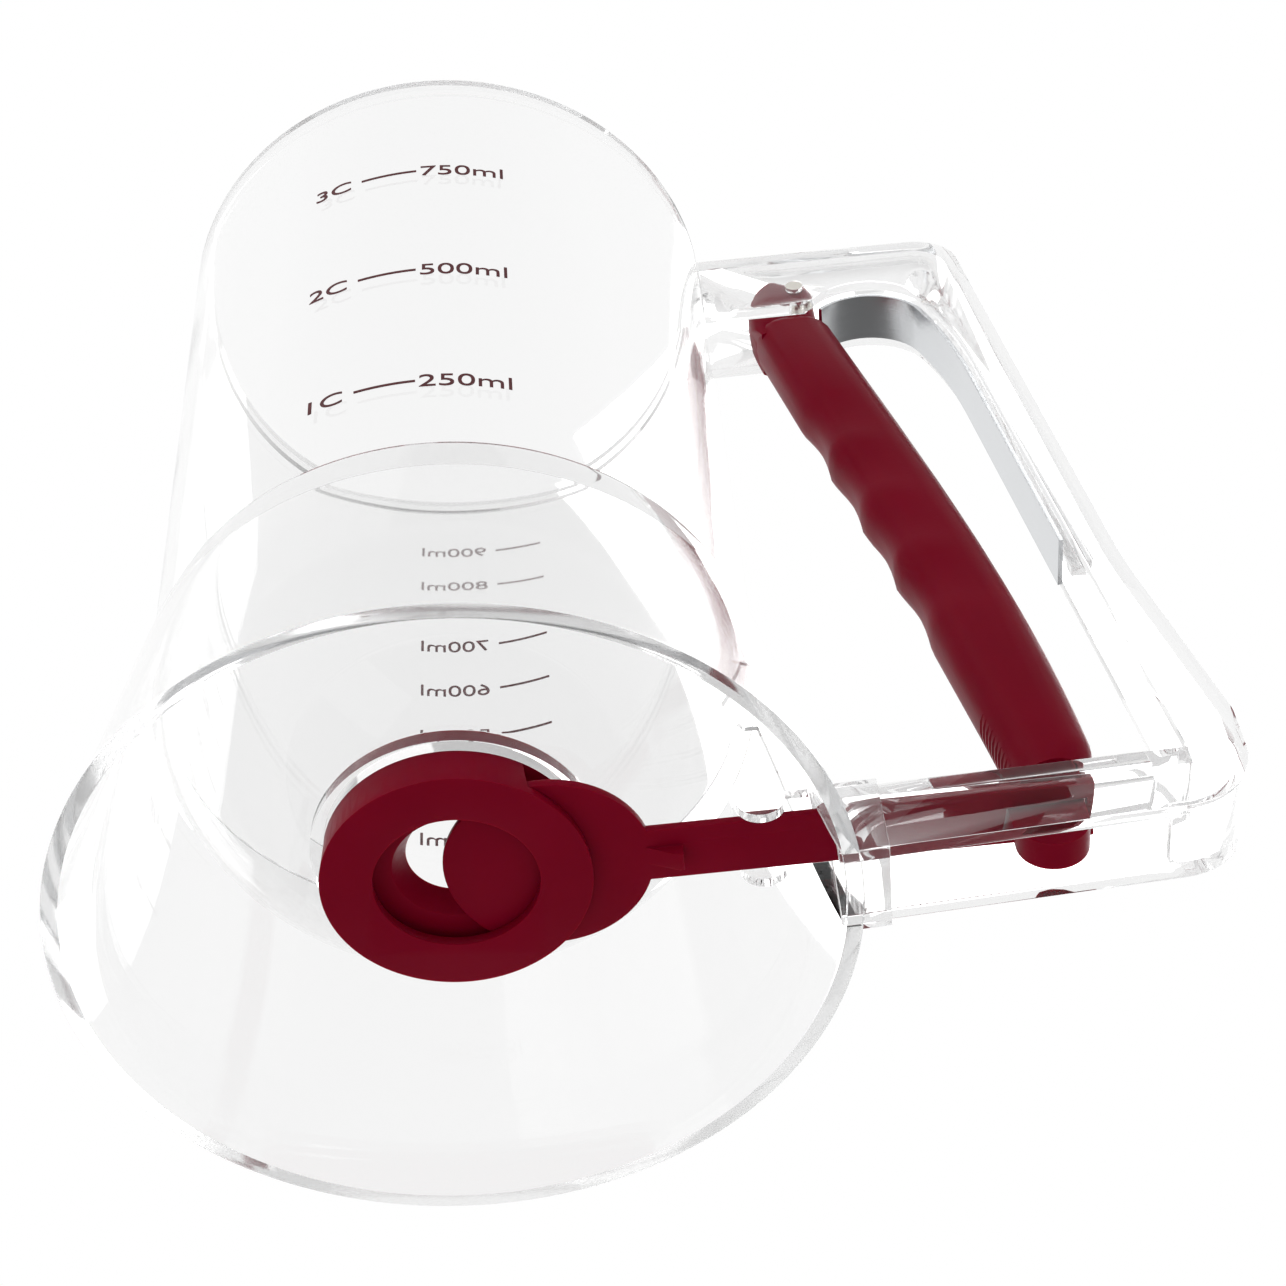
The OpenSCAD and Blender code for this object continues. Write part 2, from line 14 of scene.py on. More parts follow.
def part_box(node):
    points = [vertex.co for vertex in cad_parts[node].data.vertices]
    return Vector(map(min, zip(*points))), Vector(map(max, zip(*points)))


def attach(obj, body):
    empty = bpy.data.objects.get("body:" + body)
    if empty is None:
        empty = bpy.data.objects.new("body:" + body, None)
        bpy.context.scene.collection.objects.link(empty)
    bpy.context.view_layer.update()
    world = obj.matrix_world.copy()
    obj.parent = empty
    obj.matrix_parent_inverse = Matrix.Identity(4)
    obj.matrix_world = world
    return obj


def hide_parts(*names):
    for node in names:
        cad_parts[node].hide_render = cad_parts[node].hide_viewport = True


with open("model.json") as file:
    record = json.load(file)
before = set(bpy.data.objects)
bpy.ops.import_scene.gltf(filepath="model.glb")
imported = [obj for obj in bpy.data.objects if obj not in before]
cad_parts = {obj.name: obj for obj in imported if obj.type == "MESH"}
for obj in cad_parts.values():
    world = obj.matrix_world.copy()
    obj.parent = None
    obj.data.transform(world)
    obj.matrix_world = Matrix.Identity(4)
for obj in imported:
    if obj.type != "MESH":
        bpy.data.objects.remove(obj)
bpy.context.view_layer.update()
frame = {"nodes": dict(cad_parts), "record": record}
MM = 0.001
scene = bpy.context.scene

# %% [markdown]
# ## Small helpers
# Colours are noted the way a paint program shows them, as sRGB hex values. Blender wants linear numbers, so one
# function turns them, by the curve that the sRGB standard gives. A second one adds a shader node with its settings
# and links in one line, which keeps each material short enough to read. Building the same nodes by mouse would work
# too, but then nobody could read off the numbers.

# %% Colour helper
def linear(hex_colour):
    channels = [int(hex_colour[i:i + 2], 16) / 255 for i in (1, 3, 5)]
    return [c / 12.92 if c <= 0.04045 else ((c + 0.055) / 1.055) ** 2.4 for c in channels] + [1.0]


print("crimson in linear light:", [round(v, 3) for v in linear("#7e0420")])


# %% Node and material helpers
def add_node(tree, kind, links=(), **settings):
    """A setting goes to the node itself if it has one of that name, and otherwise to its socket: From_Min is
    the socket From Min. A link is a source and the name or number of the socket that it ends in."""
    node = tree.nodes.new(kind)
    for name, value in settings.items():
        if hasattr(node, name):
            setattr(node, name, value)
        else:
            node.inputs[name.replace("_", " ")].default_value = value
    for source, name in links:
        tree.links.new(source, node.inputs[name])
    return node


def new_material(name):
    material = bpy.data.materials.new(name)
    material.use_nodes = True
    material.node_tree.nodes.clear()
    return material, material.node_tree


print("helpers ready, with", len(bpy.data.materials), "materials in the file so far")

# %% [markdown]
# ## The camera
# The photograph looks up at the jug from below and in front, as if it were held up to show its nozzle. A camera could
# be placed by eye. But the rings of the mouth, the waist and the skirt are circles of known size, so their ellipses
# in the picture give the camera's place, its lens and a roll of almost six degrees, and these numbers are used.

# %% Camera
view_direction = Vector((0.001, 0.611, 0.7917)).normalized()
level_right, level_up = Vector((1, 0, 0)), Vector((0, -0.7917, 0.611))
camera_place = Vector((0.03119, -0.27373, -0.28959))
roll = math.radians(-5.75)
lens_mm, film_mm = 75.19, 36
up = (level_up * math.cos(roll) - level_right * math.sin(roll))
up = (up - view_direction * up.dot(view_direction)).normalized()
right = view_direction.cross(up)
camera = bpy.data.objects.new("camera", bpy.data.cameras.new("camera"))
scene.collection.objects.link(camera)
camera.data.sensor_width = film_mm
camera.data.lens = lens_mm
camera.data.clip_start = 10 * MM
camera.matrix_world = Matrix((
    (right.x, up.x, -view_direction.x, camera_place.x),
    (right.y, up.y, -view_direction.y, camera_place.y),
    (right.z, up.z, -view_direction.z, camera_place.z),
    (0, 0, 0, 1)))
scene.camera = camera
print("camera stands", round(camera_place.length, 3), "m from the middle of the skirt's rim")

# %% [markdown]
# ## The studio
# Clear plastic has hardly a colour of its own. It shows by what it bends and mirrors, so the studio is part of the
# look. The photograph was lit from behind: a white wall beyond the object and a dark room on the camera's side. White
# and dark boards could be built for this, but they would show in other views. The world does it instead with one
# number, how far a ray points away from the camera's side, from 0 straight back to 1 straight on to the wall.

# %% World: how far a ray points towards the wall
wall_direction = (0.0, 0.6, 0.8)
world = bpy.data.worlds.new("white wall and dark room")
scene.world = world
world.use_nodes = True
room = world.node_tree
room.nodes.clear()
ray = add_node(room, "ShaderNodeLightPath")
heading = add_node(room, "ShaderNodeTexCoord")
away = add_node(room, "ShaderNodeVectorMath", [(heading.outputs["Generated"], 0)], operation="DOT_PRODUCT")
away.inputs[1].default_value = wall_direction
wallward = add_node(room, "ShaderNodeMapRange", [(away.outputs["Value"], "Value")], From_Min=-1.0, From_Max=1.0)
print("the white wall lies along", wall_direction)

# %% [markdown]
# ## Two rows of grey
# A ray that goes through the plastic finds white straight on and grey where an edge bends it aside, and that grey
# draws the edge's line. A ray that a surface mirrors towards the camera's side finds the dark room, which keeps the
# crimson deep. Each row of pairs says how grey the world is for how far the ray points towards the wall.

# %% World: the greys for rays through and off the plastic
grey_rows = {"through": [(0.0, 0.75), (0.45, 0.60), (0.62, 0.85), (0.75, 1.0)],
             "mirrored": [(0.0, 0.10), (0.45, 0.18), (0.62, 0.60), (0.80, 1.0)]}
backdrops = {}
for row, stops in grey_rows.items():
    ramp = add_node(room, "ShaderNodeValToRGB", [(wallward.outputs["Result"], "Fac")])
    while len(ramp.color_ramp.elements) < len(stops):
        ramp.color_ramp.elements.new(0.5)
    for element, (position, grey) in zip(ramp.color_ramp.elements, stops):
        element.position = position
        element.color = (grey, grey, grey, 1)
    backdrops[row] = add_node(room, "ShaderNodeBackground", [(ramp.outputs["Color"], "Color")])
    print("greys for rays", row + ":", [grey for position, grey in stops])

# %% World: which ray finds what
level_light = add_node(room, "ShaderNodeBackground", Color=(1, 1, 1, 1), Strength=0.7)
white_wall = add_node(room, "ShaderNodeBackground", Color=(1, 1, 1, 1), Strength=1.0)
glossy = add_node(room, "ShaderNodeMixShader", [(ray.outputs["Is Transmission Ray"], 0),
                                                (backdrops["mirrored"].outputs[0], 1),
                                                (backdrops["through"].outputs[0], 2)])
indirect = add_node(room, "ShaderNodeMixShader", [(ray.outputs["Is Glossy Ray"], 0), (level_light.outputs[0], 1),
                                                  (glossy.outputs[0], 2)])
shown = add_node(room, "ShaderNodeMixShader", [(ray.outputs["Is Camera Ray"], 0), (indirect.outputs[0], 1),
                                               (white_wall.outputs[0], 2)])
add_node(room, "ShaderNodeOutputWorld", [(shown.outputs[0], "Surface")])
scene.view_settings.view_transform = "Standard"
print("world has", len(room.nodes), "nodes")

# %% [markdown]
# ## The floor
# A pale floor carries the shadow for a camera above it. The photograph looks up from below it, so a plain plane would
# hide the object. This one is one-sided: from below it is clear. Further out it fades to the white of the wall, so no
# horizon cuts the picture in a level view.

# %% Floor: the plane
floor_size, floor_gap = 20, 0.3 * MM
bpy.ops.object.select_all(action="DESELECT")
bpy.ops.mesh.primitive_plane_add(size=floor_size, location=(0, 0, -floor_gap))
floor = bpy.context.object
floor.name = "floor"
print("floor is", floor_size, "m across and lies", round(floor_gap / MM, 2), "mm under the skirt's rim")

# %% Floor: white paint that fades to the wall
fade_start, fade_end = 0.15, 0.75
floor_paint, tree = new_material("matt white floor")
spot = add_node(tree, "ShaderNodeTexCoord")
reach = add_node(tree, "ShaderNodeVectorMath", [(spot.outputs["Object"], 0)], operation="LENGTH")
fade = add_node(tree, "ShaderNodeMapRange", [(reach.outputs["Value"], "Value")], interpolation_type="SMOOTHSTEP",
                From_Min=fade_start, From_Max=fade_end)
seen = add_node(tree, "ShaderNodeLightPath")
looked_at = add_node(tree, "ShaderNodeMath", [(seen.outputs["Is Camera Ray"], 0),
                                              (seen.outputs["Is Transmission Ray"], 1)], operation="MAXIMUM")
share = add_node(tree, "ShaderNodeMath", [(fade.outputs["Result"], 0), (looked_at.outputs[0], 1)],
                 operation="MULTIPLY")
paint = add_node(tree, "ShaderNodeBsdfDiffuse", Color=linear("#f4f4f4"))
wall_white = add_node(tree, "ShaderNodeEmission", Color=(1, 1, 1, 1), Strength=1.0)
top = add_node(tree, "ShaderNodeMixShader", [(share.outputs[0], 0), (paint.outputs[0], 1),
                                             (wall_white.outputs[0], 2)])
print("floor turns to wall white from", fade_start, "to", fade_end, "m out")

# %% Floor: clear from below
facing = add_node(tree, "ShaderNodeNewGeometry")
clear = add_node(tree, "ShaderNodeBsdfTransparent")
one_sided = add_node(tree, "ShaderNodeMixShader", [(facing.outputs["Backfacing"], 0), (top.outputs[0], 1),
                                                   (clear.outputs[0], 2)])
add_node(tree, "ShaderNodeOutputMaterial", [(one_sided.outputs[0], "Surface")])
floor.data.materials.append(floor_paint)
floor.visible_diffuse = False
floor.visible_shadow = False
floor.visible_glossy = False
print("floor paint has", len(tree.nodes), "nodes")

# %% [markdown]
# ## The lamps
# The level light of the world alone would leave every surface flat. Three soft lamps at a plain level give the
# surfaces their shape: a large one in front and to the side, a small one low down that reaches under the skirt, and
# one behind. They are large areas and not points, because a small lamp draws a hard spot in every smooth surface.

# %% Lamps
lamp_plan = {  # place, aimed at, width and height in metres, and watts
    "key lamp": ((-0.7, -0.8, 0.5), (0, 0, 0.08), (1.3, 1.3), 3.0),
    "low lamp": ((-0.45, -0.35, -0.6), (0, 0, 0.05), (0.3, 0.6), 0.3),
    "back lamp": ((0.5, 0.7, 0.9), (0.03, 0, 0.06), (0.8, 0.8), 4.0)}
for name, (place, target, size, watts) in lamp_plan.items():
    lamp = bpy.data.objects.new(name, bpy.data.lights.new(name, "AREA"))
    scene.collection.objects.link(lamp)
    lamp.data.shape = "RECTANGLE"
    lamp.data.size, lamp.data.size_y = size
    lamp.data.energy = watts
    lamp.location = place
    lamp.rotation_euler = (Vector(target) - Vector(place)).to_track_quat("-Z", "Y").to_euler()
    print(name, "gives", watts, "W from", place)

# %% [markdown]
# ## Clear styrene plastic
# Cup, skirt and handle are injection-moulded from clear SAN, a hard styrene plastic like that of most measuring jugs.
# The polished mould leaves it glass-smooth, with slow waves where the wall cooled, and it takes a faint grey tint
# along a long path, so its edges look darker than its walls. The rim that it stands on is scuffed rougher, and it is
# made a little whiter as a painted highlight for the light that its rounded edge catches. A glass shader alone would
# give the walls. The Principled shader is used, because it takes the rougher, whiter rim as well.
# Styrene has an index near 1.56. The edges in the photograph are paler than that gives, so it is matched at 1.42.

# %% Clear plastic material
wave_scale = 30.0                   # to the metre, so one slow wave every 33 mm
scuff_scale = 700.0                 # to the metre, so one scuff every 1.4 mm
# the band at the foot of the rim that is scuffed rougher and painted whiter as a highlight of its rounded edge
rim_scuff_and_highlight_to, rim_scuff_and_highlight_from = 0.1 * MM, 0.6 * MM


def clear_plastic():
    material, tree = new_material("clear SAN plastic, moulded")
    place = add_node(tree, "ShaderNodeTexCoord")
    waves = add_node(tree, "ShaderNodeTexNoise", [(place.outputs["Object"], "Vector")], Scale=wave_scale, Detail=1.0)
    bump = add_node(tree, "ShaderNodeBump", [(waves.outputs["Fac"], "Height")], Strength=0.04, Distance=0.001)
    height = add_node(tree, "ShaderNodeSeparateXYZ", [(place.outputs["Object"], "Vector")])
    scuffs = add_node(tree, "ShaderNodeTexNoise", [(place.outputs["Object"], "Vector")], Scale=scuff_scale,
                      Detail=3.0)
    # Towards the rim's foot the plastic is rougher, as scuffed, and lets a twentieth less light through so that it
    # reads whiter: a painted highlight for the rim's rounded edge.
    rim_wear_and_painted_highlight = add_node(tree, "ShaderNodeMapRange", [(height.outputs["Z"], "Value")],
                    From_Min=rim_scuff_and_highlight_from, From_Max=rim_scuff_and_highlight_to, To_Min=0.0, To_Max=1.0)
    clearness = add_node(tree, "ShaderNodeMapRange", [(rim_wear_and_painted_highlight.outputs["Result"], "Value")], To_Min=1.0, To_Max=0.95)
    matt = add_node(tree, "ShaderNodeMapRange", [(scuffs.outputs["Fac"], "Value")], To_Min=0.06, To_Max=0.14)
    rough = add_node(tree, "ShaderNodeMapRange", [(rim_wear_and_painted_highlight.outputs["Result"], "Value"),
                                                  (matt.outputs["Result"], "To Max")], To_Min=0.015)
    plastic = add_node(tree, "ShaderNodeBsdfPrincipled",
                       [(bump.outputs["Normal"], "Normal"), (clearness.outputs["Result"], "Transmission Weight"),
                        (rough.outputs["Result"], "Roughness")],
                       Base_Color=linear("#f8f8f8"), IOR=1.42)
    # A lamp's ray can't bend on its way through, and would find the plastic opaque, so it is let straight through.
    path = add_node(tree, "ShaderNodeLightPath")
    passing = add_node(tree, "ShaderNodeBsdfTransparent", Color=linear("#f4f5f6"))
    surface = add_node(tree, "ShaderNodeMixShader", [(path.outputs["Is Shadow Ray"], 0), (plastic.outputs[0], 1),
                                                     (passing.outputs[0], 2)])
    inside = add_node(tree, "ShaderNodeVolumeAbsorption", Color=linear("#e2e2e2"), Density=5.0)
    add_node(tree, "ShaderNodeOutputMaterial", [(surface.outputs[0], "Surface"), (inside.outputs[0], "Volume")])
    return material


plastic_clear = clear_plastic()
print(plastic_clear.name, "has", len(plastic_clear.node_tree.nodes), "nodes")

# %% [markdown]
# ## Crimson plastic
# Nozzle, shutter and lever are moulded from a deep crimson polypropylene. It isn't quite opaque: red light soaks a
# millimetre or two into it and the rest hardly at all, so thin edges and walls lit from behind glow a warmer red.
# Plain paint would look dead there, and a little subsurface scattering gives just that. The mould leaves a satin skin
# with a fine grain, drawn at about half a millimetre so that it shows. The photograph shows hardly a mirror image on
# it, so its specular level is far below the usual 0.5.

# %% Crimson material
flow_scale = 60.0                   # to the metre: the colour drifts over 17 mm
skin_scale = 1800.0                 # to the metre: a grain of 0.55 mm


def crimson_plastic():
    material, tree = new_material("crimson polypropylene, satin moulded")
    place = add_node(tree, "ShaderNodeTexCoord")
    flow = add_node(tree, "ShaderNodeTexNoise", [(place.outputs["Object"], "Vector")], Scale=flow_scale, Detail=3.0)
    tone = add_node(tree, "ShaderNodeMix", data_type="RGBA")
    tree.links.new(flow.outputs["Fac"], tone.inputs[0])
    tone.inputs[6].default_value = linear("#70021a")
    tone.inputs[7].default_value = linear("#7e0420")
    grain = add_node(tree, "ShaderNodeTexNoise", [(place.outputs["Object"], "Vector")], Scale=skin_scale, Detail=2.0)
    bump = add_node(tree, "ShaderNodeBump", [(grain.outputs["Fac"], "Height")], Strength=0.08, Distance=0.0002)
    sheen = add_node(tree, "ShaderNodeMapRange", [(flow.outputs["Fac"], "Value")], To_Min=0.30, To_Max=0.40)
    plastic = add_node(tree, "ShaderNodeBsdfPrincipled",
                       [(tone.outputs[2], "Base Color"), (sheen.outputs["Result"], "Roughness"),
                        (bump.outputs["Normal"], "Normal")],
                       IOR=1.45, Specular_IOR_Level=0.05, Subsurface_Weight=0.4, Subsurface_Scale=0.0015,
                       Subsurface_Radius=(1.0, 0.12, 0.06))
    add_node(tree, "ShaderNodeOutputMaterial", [(plastic.outputs[0], "Surface")])
    return material


crimson = crimson_plastic()
print(crimson.name, "has", len(crimson.node_tree.nodes), "nodes")

# %% [markdown]
# ## Steel
# The leaf spring is bright rolled spring steel, and the pin is nickel-plated and a little warmer. Rolling leaves fine
# lines along the strip, which draw a reflection out across them. Real ones are too fine to see from here, so the
# noise has three waves to the millimetre of the strip's width. It is squeezed by a Mapping node, because a picture of
# brushed steel would show its seams on a bent strip.

# %% Steel material
line_squeeze = (40, 3000, 40)       # waves to the metre along X, across the strip and along Z


def rolled_steel(name, colour):
    material, tree = new_material(name)
    place = add_node(tree, "ShaderNodeTexCoord")
    stretch = add_node(tree, "ShaderNodeMapping", [(place.outputs["Object"], "Vector")])
    stretch.inputs["Scale"].default_value = line_squeeze
    lines = add_node(tree, "ShaderNodeTexNoise", [(stretch.outputs["Vector"], "Vector")], Scale=1.0, Detail=2.0)
    bump = add_node(tree, "ShaderNodeBump", [(lines.outputs["Fac"], "Height")], Strength=0.15, Distance=0.0001)
    rough = add_node(tree, "ShaderNodeMapRange", [(lines.outputs["Fac"], "Value")], To_Min=0.16, To_Max=0.30)
    metal = add_node(tree, "ShaderNodeBsdfPrincipled", [(rough.outputs["Result"], "Roughness"),
                                                        (bump.outputs["Normal"], "Normal")],
                     Base_Color=linear(colour), Metallic=1.0)
    add_node(tree, "ShaderNodeOutputMaterial", [(metal.outputs[0], "Surface")])
    return material


spring_steel = rolled_steel("spring steel, bright rolled", "#d6d8da")
pin_steel = rolled_steel("nickel-plated steel, turned", "#f0ece4")
for steel in (spring_steel, pin_steel):
    print(steel.name, "has", len(steel.node_tree.nodes), "nodes")

# %% [markdown]
# ## Printing ink
# The scale is pad-printed in a dark wine-red ink. It dries matt, and a little patchy where the pad left it thin. One
# flat colour would look like a sticker, so a noise of about a millimetre moves it between two tones.

# %% Ink material
patch_scale = 900.0                 # to the metre: a patch every 1.1 mm


def printing_ink():
    material, tree = new_material("wine-red printing ink, matt")
    place = add_node(tree, "ShaderNodeTexCoord")
    patches = add_node(tree, "ShaderNodeTexNoise", [(place.outputs["Object"], "Vector")], Scale=patch_scale,
                       Detail=2.0)
    tone = add_node(tree, "ShaderNodeMix", data_type="RGBA")
    tree.links.new(patches.outputs["Fac"], tone.inputs[0])
    tone.inputs[6].default_value = linear("#4a0f16")
    tone.inputs[7].default_value = linear("#6a1a22")
    film = add_node(tree, "ShaderNodeBsdfPrincipled", [(tone.outputs[2], "Base Color")], Roughness=0.6)
    add_node(tree, "ShaderNodeOutputMaterial", [(film.outputs[0], "Surface")])
    return material


ink = printing_ink()
print(ink.name, "has", len(ink.node_tree.nodes), "nodes")

# %% [markdown]
# ## Finishes for the CAD nodes
# Each CAD node gets the material of its real piece. The ribs beside the slide, the pin and the printed lines are
# shown just as the CAD model has them, since plain moulded and turned shapes need no more. The others get a finer
# stand-in in the next steps.

# %% Materials onto the CAD nodes
finishes = {"cup": plastic_clear, "skirt": plastic_clear, "arm_socket": plastic_clear, "slide_guides": plastic_clear,
            "handle": plastic_clear, "nozzle": crimson, "shutter": crimson, "trigger": crimson, "pivot_pin": pin_steel,
            "leaf_spring": spring_steel, "front_scale": ink, "back_scale": ink}
for name, material in finishes.items():
    frame["nodes"][name].data.materials.clear()
    frame["nodes"][name].data.materials.append(material)
print("finished nodes:", ", ".join(finishes))

# %% [markdown]
# ## A lathe for the clear walls
# A CAD mesh of a clear vessel shows its facets, because every facet bends the light by itself. Smooth shading alone
# doesn't hide them. So the cup and the skirt are turned again, as on a lathe: one point is drawn out along the same
# profile, and the line is spun round the axis in many steps. Spinning can leave the faces inside out, so the normals
# are made consistent once the seam is merged.

# %% Turn a profile
lathe_steps = 240
seam_gap = 1e-6                             # metres: points closer than this are one
turned_angle = math.radians(15)             # flatter edges than this look smooth


def turn(name, profile):
    bpy.ops.object.select_all(action="DESELECT")
    bpy.ops.mesh.primitive_plane_add(size=1 * MM)
    piece = bpy.context.object
    piece.name = name
    bpy.ops.object.mode_set(mode="EDIT")
    bpy.ops.mesh.select_mode(type="VERT")
    bpy.ops.mesh.select_all(action="SELECT")
    bpy.ops.mesh.merge(type="CENTER")
    bpy.ops.transform.translate(value=(profile[0][0], 0, profile[0][1]))
    for (r0, z0), (r1, z1) in zip(profile, profile[1:] + profile[:1]):
        bpy.ops.mesh.extrude_region_move(TRANSFORM_OT_translate={"value": (r1 - r0, 0, z1 - z0)})
    bpy.ops.mesh.select_all(action="SELECT")
    bpy.ops.mesh.remove_doubles(threshold=seam_gap)
    bpy.ops.mesh.spin(steps=lathe_steps, angle=2 * math.pi, center=(0, 0, 0), axis=(0, 0, 1))
    bpy.ops.mesh.select_all(action="SELECT")
    bpy.ops.mesh.remove_doubles(threshold=seam_gap)
    bpy.ops.mesh.normals_make_consistent(inside=False)
    bpy.ops.object.mode_set(mode="OBJECT")
    bpy.ops.object.shade_smooth_by_angle(angle=turned_angle)
    return piece


print("lathe ready, with", lathe_steps, "steps to a turn")


# %% Let a finer piece stand for its CAD node
def stand_for(piece, node, material):
    piece.data.materials.clear()
    piece.data.materials.append(material)
    body = next(b for b, names in frame["record"]["behaviour"]["bodies"].items() if node in names)
    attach(piece, body)
    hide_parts(node)
    print(piece.name, "stands for", node, "with", len(piece.data.polygons), "faces")


# %% [markdown]
# ## The cup
# The cup is the measuring jug itself: a nearly straight wall with a thicker lip, a bowl for a floor and a short
# collar that grips the nozzle's neck. It could be turned from few points, but clear plastic bends the view wherever
# the shading runs on from one long face to the next. So the wall gets points close together near its ends, and the
# bowl many along its curve.

# %% Cup: wall and bowl
waist, mouth = 56.5 * MM, 180 * MM
low_r, top_r, wall = 49.4 * MM, 50.2 * MM, 2.1 * MM
bowl_points, wall_points, lip_points = 72, 24, 4


def wall_radius(z):
    return low_r + (top_r - low_r) * (z - waist) / (mouth - waist)


def bowl(radius, depth, end_radius):
    last = math.acos(end_radius / radius)
    return [(radius * math.cos(last * i / bowl_points), waist - depth * math.sin(last * i / bowl_points))
            for i in range(bowl_points + 1)]


def rise(z0, z1, inset, points):
    """Points up the wall from z0 to z1, closer near the ends, so that its shading stays straight."""
    shares = [0, 0.001, 0.01] + [i / points for i in range(1, points)] + [0.99, 0.999, 1]
    heights = [z0 + (z1 - z0) * share for share in shares]
    return [(wall_radius(z) - inset, z) for z in heights]


print("wall leans out by", round((top_r - low_r) / MM, 2), "mm over", round((mouth - waist) / MM, 1), "mm")

# %% Cup: turn it
bore, collar_low = 20.25 * MM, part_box("cup")[0][2]
collar_wall, lip, lip_wall, lip_ease = 2 * MM, 4 * MM, 2.5 * MM, 1 * MM
outer_bowl = bowl(radius=48.55 * MM, depth=41 * MM, end_radius=22.25 * MM)
inner_bowl = bowl(radius=low_r - wall, depth=38.9 * MM, end_radius=bore)
cup_profile = ([(bore, collar_low), (bore + collar_wall, collar_low)] + outer_bowl[::-1] +
               rise(waist, mouth, 0, wall_points) + rise(mouth - lip, mouth, lip_wall, lip_points)[::-1] +
               rise(waist, mouth - lip - lip_ease, wall, wall_points)[::-1] + inner_bowl[1:])
cup = turn("cup_turned", cup_profile)
stand_for(cup, "cup", plastic_clear)

# %% [markdown]
# ## The skirt
# The skirt is the flared foot under the waist. Its outline is a soft S: a curve that eases from the waist's radius to
# the foot's, with a lean at each end. A spline drawn by eye would do, but this one is written as the CAD model writes
# it, so that the two agree. The inner side keeps one wall's distance, up to the thin lap that goes round the cup.

# %% Skirt: its curve
skirt_steps, skirt_wall, foot = 64, 2.5 * MM, 60.5 * MM
lean_top, lean_foot = 0.26, 0.27
lap_r, lap_rise = 48.6 * MM, 0.3 * MM


def skirt_radius(u):
    ease = 3 * u * u - 2 * u ** 3
    return (low_r * (1 - ease) + foot * ease + lean_top * waist * u * (1 - u) ** 2
            - lean_foot * waist * u * u * (1 - u))


curve = [(skirt_radius(i / skirt_steps), waist * (1 - i / skirt_steps)) for i in range(skirt_steps + 1)]
inside = [(r - skirt_wall, z) for r, z in curve if r - skirt_wall > lap_r]
print("skirt is", round(2 * curve[-1][0] / MM, 1), "mm across at its foot")

# %% Skirt: turn it
lap_z = inside[0][1] + lap_rise
skirt_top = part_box("skirt")[1][2]
curve[0] = (low_r, skirt_top)
skirt = turn("skirt_turned", curve + inside[::-1] + [(lap_r, lap_z), (lap_r, skirt_top)])
print("skirt has", len(skirt.data.vertices), "points before the cut")

# %% [markdown]
# ## The way through the skirt
# The handle's lower arm, with the shutter's bar in it, passes through an almost square hole in the skirt's wall.
# Faces could be deleted there one by one, but they don't end where the hole does. A block is subtracted instead,
# which cuts all of them along the hole's own sides, and the smooth shading is set again on the new edges.

# %% Skirt: cut the way for the arm
way_centre, way_size = (0.0585, 0, 0.00796), (0.02, 0.0147, 0.01448)
bpy.ops.object.select_all(action="DESELECT")
bpy.ops.mesh.primitive_cube_add(size=1, location=way_centre)
cutter = bpy.context.object
bpy.ops.object.mode_set(mode="EDIT")
bpy.ops.transform.resize(value=way_size)
bpy.ops.object.mode_set(mode="OBJECT")
bpy.ops.object.select_all(action="DESELECT")
skirt.select_set(True)
bpy.context.view_layer.objects.active = skirt
way = skirt.modifiers.new("way", "BOOLEAN")
way.object = cutter
way.operation = "DIFFERENCE"
bpy.ops.object.modifier_apply(modifier="way")
bpy.data.objects.remove(cutter)
bpy.ops.object.shade_smooth_by_angle(angle=turned_angle)
stand_for(skirt, "skirt", plastic_clear)

# %% [markdown]
# ## Softer edges on the moulded pieces
# A mould never leaves a knife edge, and most edges of the CAD model are sharp. Modelling these pieces again would
# only risk their fit, so each gets a merged copy of its CAD mesh: the loose triangles are joined, the flat ones
# become whole faces, and then the sharp edges get a small round that catches the light. A width of 0 leaves the
# edges and only smooths the shading.

# %% Merge, round and smooth a copy
triangle_gap = 2e-6                         # metres: joins the loose triangles of the CAD mesh
flat_angle = math.radians(0.5)              # faces that lie flatter than this to each other become one
sharp_angle = math.radians(40)              # sharper edges than this are rounded
moulded_angle = math.radians(32)            # flatter edges than this look smooth
round_steps = 3


def soften(node, material, width):
    source = frame["nodes"][node]
    piece = bpy.data.objects.new(node + "_finish", source.data.copy())
    scene.collection.objects.link(piece)
    bpy.ops.object.select_all(action="DESELECT")
    piece.select_set(True)
    bpy.context.view_layer.objects.active = piece
    if piece.data.has_custom_normals:
        bpy.ops.mesh.customdata_custom_splitnormals_clear()
    bpy.ops.object.mode_set(mode="EDIT")
    bpy.ops.mesh.select_all(action="SELECT")
    bpy.ops.mesh.remove_doubles(threshold=triangle_gap)
    bpy.ops.mesh.dissolve_limited(angle_limit=flat_angle)
    bpy.ops.mesh.normals_make_consistent(inside=False)
    bpy.ops.object.mode_set(mode="OBJECT")
    if width:
        bevel = piece.modifiers.new("round", "BEVEL")
        bevel.width = width
        bevel.segments = round_steps
        bevel.limit_method = "ANGLE"
        bevel.angle_limit = sharp_angle
        bpy.ops.object.modifier_apply(modifier="round")
    bpy.ops.object.shade_smooth_by_angle(angle=moulded_angle)
    stand_for(piece, node, material)


print("edges sharper than", round(math.degrees(sharp_angle)), "degrees get a round")

# %% [markdown]
# ## Handle and socket
# The clear handle is a channel with thin walls, and its lower arm is pushed into a sleeve on the skirt. A round in
# clear plastic shows as a line as wide as itself. The lines in the photograph are fine, so these are narrow.

# %% Round the handle and its socket
soften("handle", plastic_clear, width=0.2 * MM)
soften("arm_socket", plastic_clear, width=0.1 * MM)

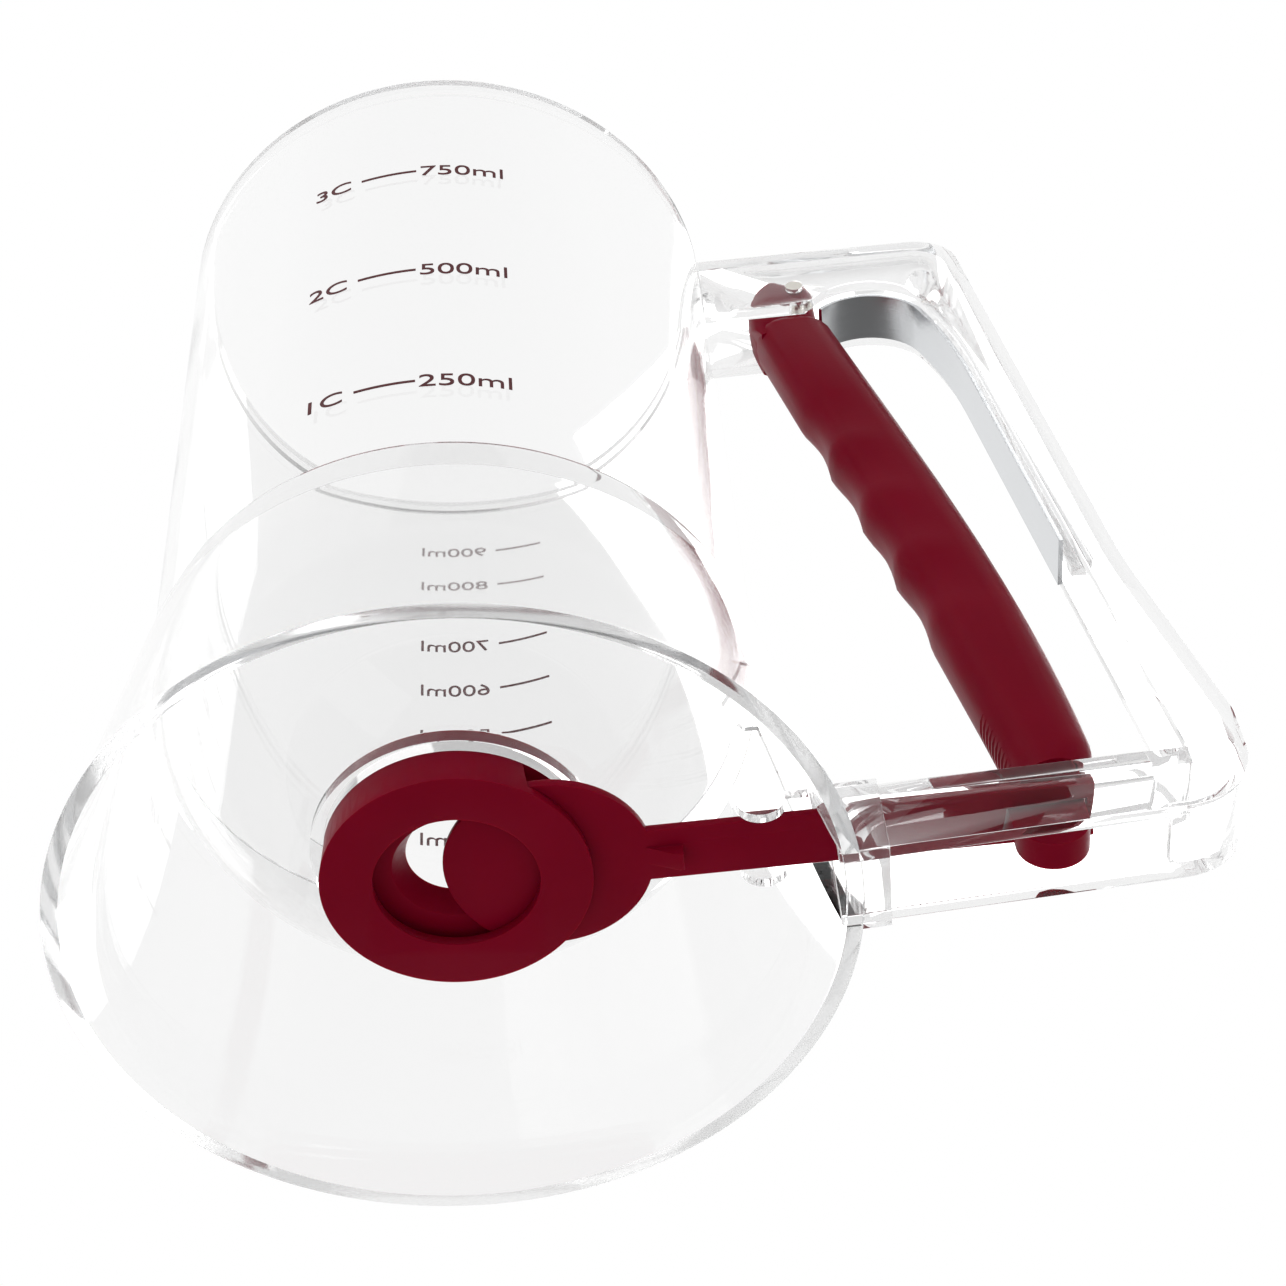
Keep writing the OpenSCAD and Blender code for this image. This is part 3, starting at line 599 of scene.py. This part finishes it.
# %% [markdown]
# ## Nozzle and shutter
# The nozzle is a thick moulding with soft edges in the photograph, and has the widest round. The shutter is a flat
# disc that slides between its ring and its throat, and its edges are crisper. One width for both would make the ring
# look machined or the disc look melted.

# %% Round the nozzle and the shutter
soften("nozzle", crimson, width=0.35 * MM)
soften("shutter", crimson, width=0.15 * MM)

# %% [markdown]
# ## Lever and leaf spring
# The lever already has its finger grooves and its rounded edges from the CAD model, and the spring is cut from thin
# strip, whose edges are crisp. A further round would blunt both, so they are only merged and smoothed.

# %% Smooth the lever and the spring
soften("trigger", crimson, width=0)
soften("leaf_spring", spring_steel, width=0)

# %% [markdown]
# ## Numbers of the scale
# The lines of the two scales are CAD nodes. Their numbers are plain lettering, so they are made here. A picture of
# the print on the wall would be quicker, but it would blur up close, so a text object becomes a mesh. Each of its
# points is then wound round the jug's wall: its distance along the line is turned into an angle, by the wall's radius
# at that height. Real ink is thinner than the 0.12 mm here, which keeps the letters' fronts clear of the wall.

# %% Wrap words round the wall
ink_film = 0.12 * MM
capital_share = 0.71                        # the font's capitals are this share of its size


def words_on_wall(name, entries, cap_height, width_stretch):
    parts = []
    for words, azimuth, z in entries:
        bpy.ops.object.select_all(action="DESELECT")
        bpy.ops.object.text_add(location=(0, 0, 0))
        label = bpy.context.object
        label.data.body = words
        label.data.size = cap_height / capital_share
        label.data.extrude = ink_film / 2
        bpy.ops.object.convert(target="MESH")
        label = bpy.context.object
        for vertex in label.data.vertices:
            u, v = vertex.co.x * width_stretch, vertex.co.y - cap_height / 2
            radius = wall_radius(z + v) + ink_film / 2 + vertex.co.z
            angle = math.radians(azimuth) + u / radius
            vertex.co = (radius * math.cos(angle), radius * math.sin(angle), z + v)
        parts.append(label)
    bpy.ops.object.select_all(action="DESELECT")
    for part in parts:
        part.select_set(True)
    bpy.context.view_layer.objects.active = parts[0]
    bpy.ops.object.join()
    joined = bpy.context.object
    joined.name = name
    bpy.ops.object.mode_set(mode="EDIT")
    bpy.ops.mesh.select_all(action="SELECT")
    bpy.ops.mesh.remove_doubles(threshold=seam_gap)
    bpy.ops.mesh.normals_make_consistent(inside=False)
    bpy.ops.object.mode_set(mode="OBJECT")
    joined.data.materials.clear()
    joined.data.materials.append(ink)
    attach(joined, "jug")
    print(name, "has", len(joined.data.polygons), "faces")


print("letters are", round(ink_film / MM, 2), "mm thick")

# %% [markdown]
# ## Front and back numbers
# The front scale counts cups and millilitres, three of each, on both ends of its lines. The back scale counts the
# hundreds, and is printed to be read from its own side, so it looks mirrored through the jug. Loops place them: every
# number stands at the height of its own CAD line, and the back ones 6 mm lower, where the photograph shows them.

# %% Front numbers
first_mark, mark_step, back_drop = 74.3 * MM, 34.97 * MM, 6 * MM
millilitres_at, cups_at, hundreds_at = -89.7, -112.3, 88.3      # degrees round the jug
front = []
for step in range(3):
    z = first_mark + step * mark_step
    front.append((f"{250 * (step + 1)}ml", millilitres_at, z))
    front.append((f"{step + 1}C", cups_at, z))
words_on_wall("front_numbers", front, cap_height=3.5 * MM, width_stretch=1.26)

# %% Back numbers
back = [(f"{ml}ml", hundreds_at, first_mark - back_drop + mark_step * (ml - 250) / 250)
        for ml in range(300, 1000, 100)]
words_on_wall("back_numbers", back, cap_height=3.4 * MM, width_stretch=1.18)

# %% [markdown]
# ## Light that bounces inside the plastic
# Light runs along inside a clear wall and bounces off its inner sides many times before it comes out. Each such
# bounce counts as a glossy one. With Blender's usual limit of four the path ends in black there, and the rims and the
# handle turn black, so the limits are raised to forty.

# %% Bounces
plastic_bounces, passing_bounces = 40, 16
scene.cycles.max_bounces = plastic_bounces
scene.cycles.glossy_bounces = plastic_bounces
scene.cycles.transmission_bounces = plastic_bounces
scene.cycles.transparent_max_bounces = passing_bounces
print("light may bounce", plastic_bounces, "times")
